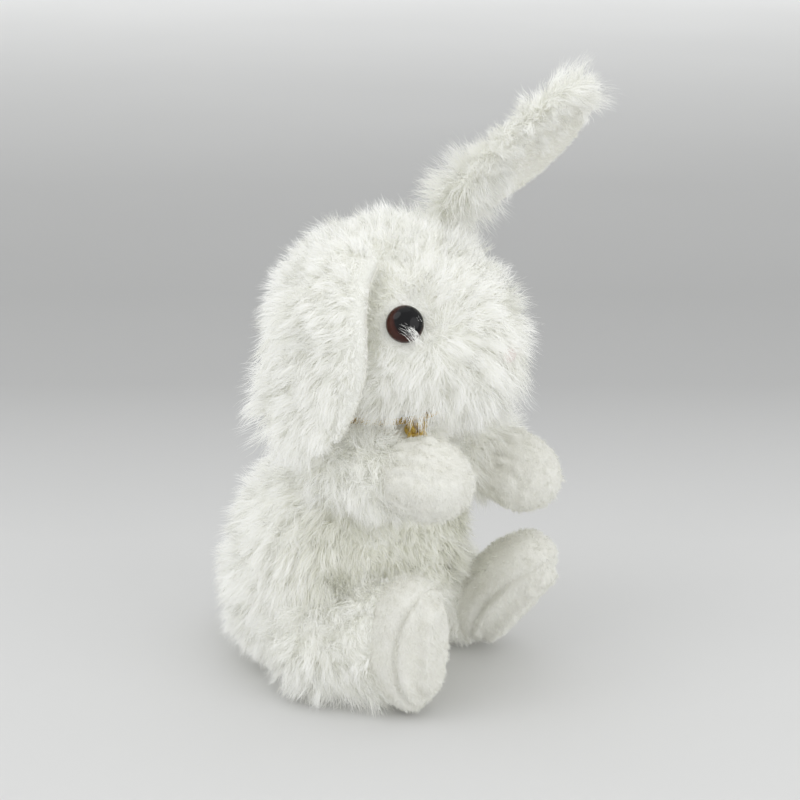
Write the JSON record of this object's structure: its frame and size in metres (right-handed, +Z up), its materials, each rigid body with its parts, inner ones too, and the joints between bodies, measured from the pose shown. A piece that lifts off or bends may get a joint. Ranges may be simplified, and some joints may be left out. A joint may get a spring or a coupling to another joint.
{
  "type": "stuffed bunny rabbit",
  "caption": "Seated plush rabbit with long white fur, short-pile paws and feet, one hanging ear, one raised ear and a gold neck cord.",
  "frame": {"origin": "under the middle of the seat, on the surface that the rabbit sits on", "axes": "+Z up, the rabbit looks along -Y, its left side is +X"},
  "size_m": [0.1006, 0.1357, 0.2228],
  "materials": {
    "fur": "long white pile fur fabric, matted in tufts",
    "short_plush": "short dense off-white plush",
    "filling": "white polyester fibre filling",
    "eye": "glossy dark red-brown dome with a black pupil",
    "washer": "natural nylon",
    "nose": "flocked dusty pink",
    "gold_cord": "twisted gold metallic thread"
  },
  "bodies": {
    "torso": {"base_panel": "fur", "belly_panel": "fur", "back_panel": "fur", "body_stuffing": "filling", "tail_cover": "fur", "tail_stuffing": "filling", "neck_cord": "gold_cord"},
    "head": {"head_gusset": "fur", "head_side_left": "fur", "head_side_right": "fur", "head_stuffing": "filling", "eye_left": "eye", "eye_right": "eye", "eye_washer_left": "washer", "eye_washer_right": "washer", "nose": "nose"},
    "ear_left": {"ear_left_back": "fur", "ear_left_lining": "short_plush"},
    "ear_right": {"ear_right_back": "fur", "ear_right_lining": "short_plush"},
    "arm_left": {"arm_left_sleeve": "fur", "arm_left_paw": "short_plush", "arm_left_stuffing": "filling"},
    "arm_right": {"arm_right_sleeve": "fur", "arm_right_paw": "short_plush", "arm_right_stuffing": "filling"},
    "leg_left": {"leg_left_sleeve": "fur", "foot_left_upper": "short_plush", "foot_left_sole": "short_plush", "leg_left_stuffing": "filling"},
    "leg_right": {"leg_right_sleeve": "fur", "foot_right_upper": "short_plush", "foot_right_sole": "short_plush", "leg_right_stuffing": "filling"}
  },
  "joints": [
    {"name": "neck_turn", "type": "hinge", "parent": "torso", "child": "head", "pos_m": [0, -0.022, 0.106], "axis": [0, 0, 1], "range_deg": [-25, 10]},
    {"name": "ear_left_fold", "type": "hinge", "parent": "head", "child": "ear_left", "pos_m": [0.027, -0.033, 0.1665], "axis": [0.9507, 0, -0.3102], "range_deg": [-100, 4]},
    {"name": "ear_right_lift", "type": "hinge", "parent": "head", "child": "ear_right", "pos_m": [-0.028, -0.033, 0.1665], "axis": [0, 1, 0], "range_deg": [0, 95]},
    {"name": "arm_left_swing", "type": "hinge", "parent": "torso", "child": "arm_left", "pos_m": [0.03, -0.0245, 0.0885], "axis": [1, 0, 0], "range_deg": [-25, 4]},
    {"name": "arm_right_swing", "type": "hinge", "parent": "torso", "child": "arm_right", "pos_m": [-0.03, -0.0245, 0.0885], "axis": [1, 0, 0], "range_deg": [-5, 28]},
    {"name": "leg_left_splay", "type": "hinge", "parent": "torso", "child": "leg_left", "pos_m": [0.031, -0.017, 0.0195], "axis": [0, 0, 1], "range_deg": [0, 35]},
    {"name": "leg_right_splay", "type": "hinge", "parent": "torso", "child": "leg_right", "pos_m": [-0.031, -0.017, 0.0195], "axis": [0, 0, 1], "range_deg": [-35, 0]}
  ]
}
